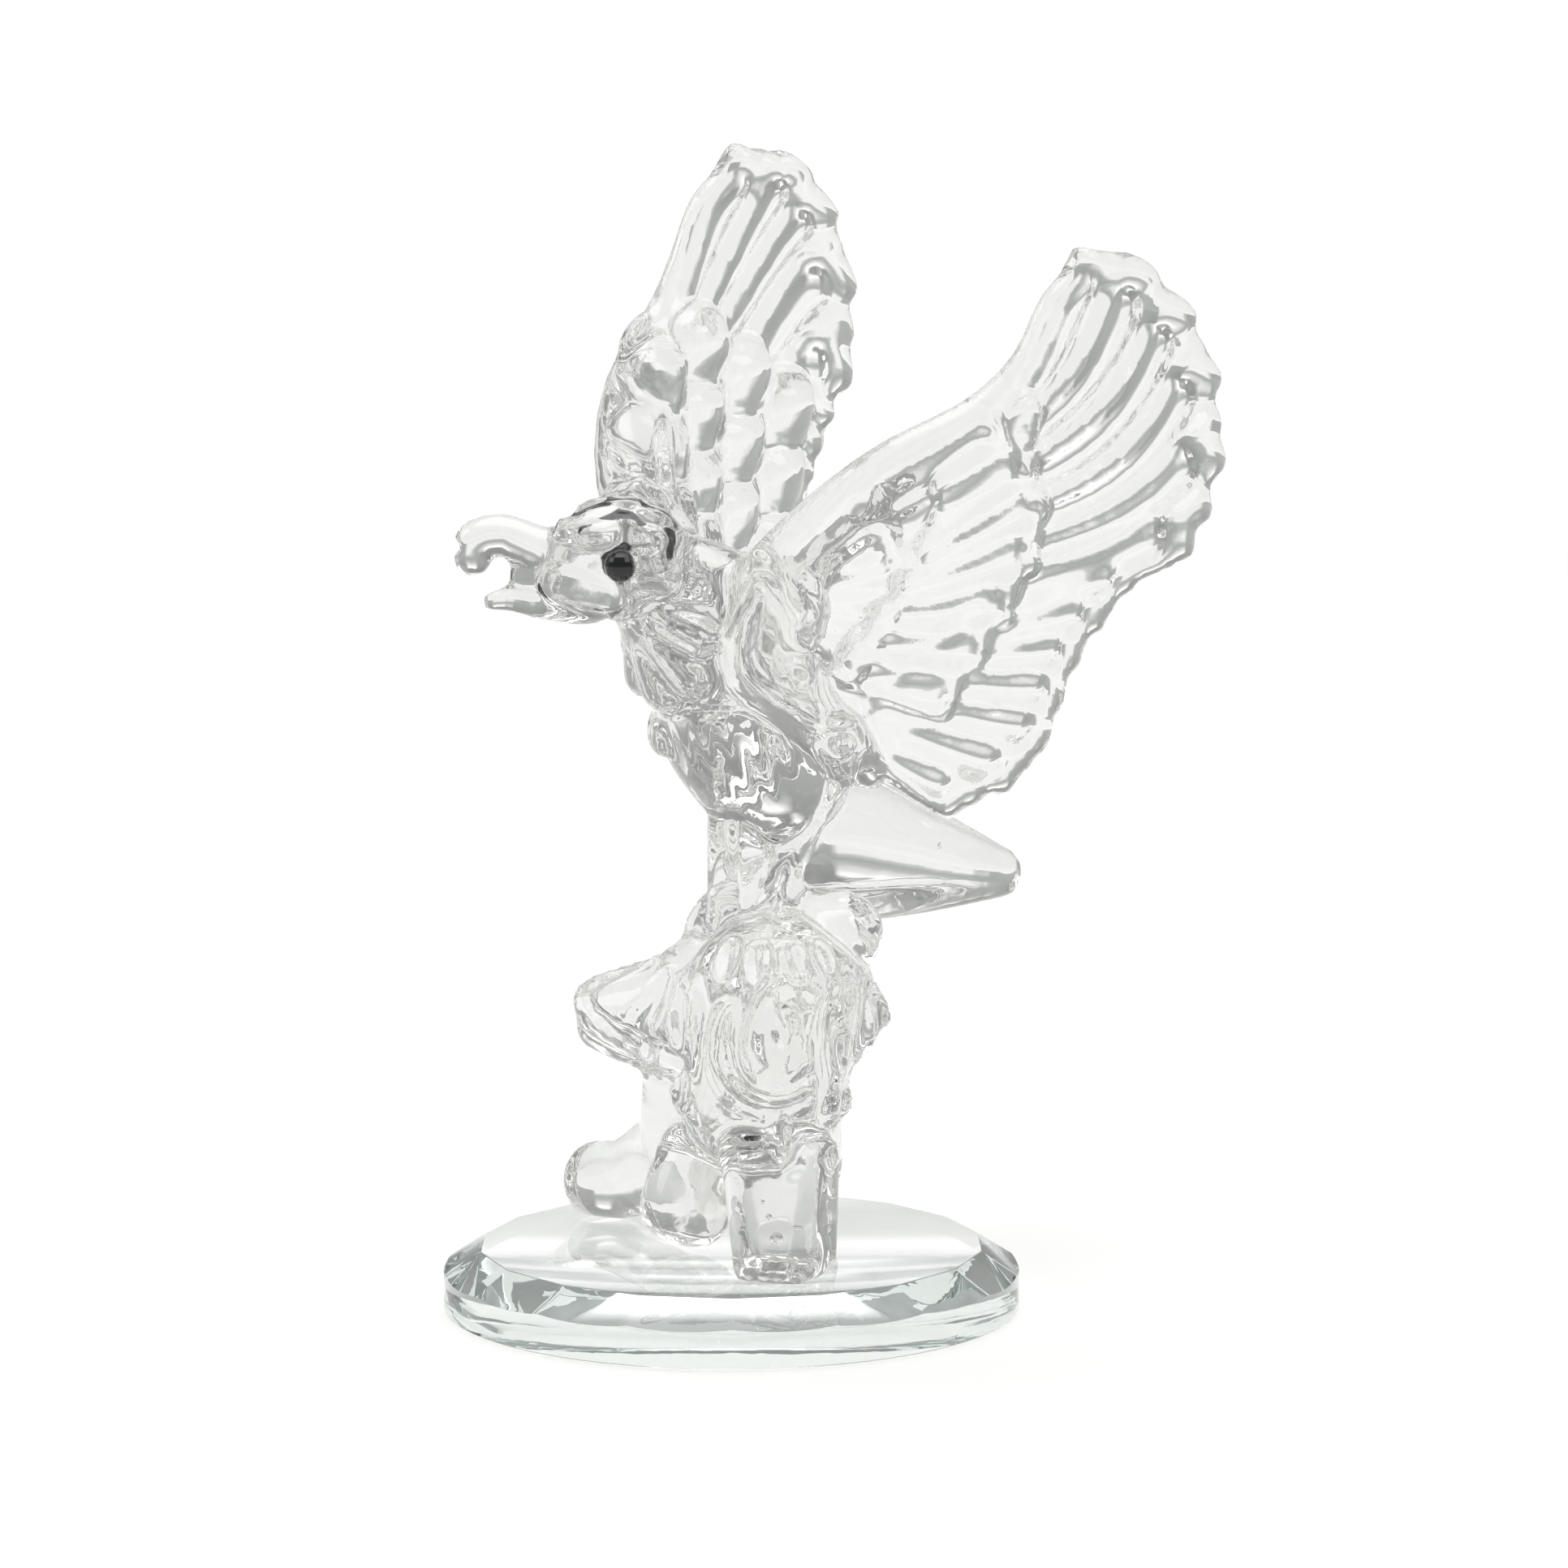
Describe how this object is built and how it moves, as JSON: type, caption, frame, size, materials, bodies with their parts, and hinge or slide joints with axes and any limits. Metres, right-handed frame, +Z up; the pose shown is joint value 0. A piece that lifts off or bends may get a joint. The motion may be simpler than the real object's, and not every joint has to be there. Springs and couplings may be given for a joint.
{
  "type": "crystal eagle figurine",
  "caption": "Clear cast crystal eagle landing on a tree stump with raised wings and black bead eyes, glued to a round glass base with a bevelled rim.",
  "frame": {"origin": "centre of the round base's underside, which the figurine stands on", "axes": "+Z up, -Y the way the bird's chest faces, +X towards the bird's left wing"},
  "size_m": [0.06, 0.072, 0.1207],
  "materials": {
    "base_glass": "polished, with ground and polished bevel facets",
    "cast_crystal": "fire polished, clear, with a few small bubbles",
    "black_glass": "glossy black"
  },
  "bodies": {
    "root": {"glass_base": "base_glass", "eagle_casting": "cast_crystal", "left_eye": "black_glass", "right_eye": "black_glass"}
  },
  "joints": []
}
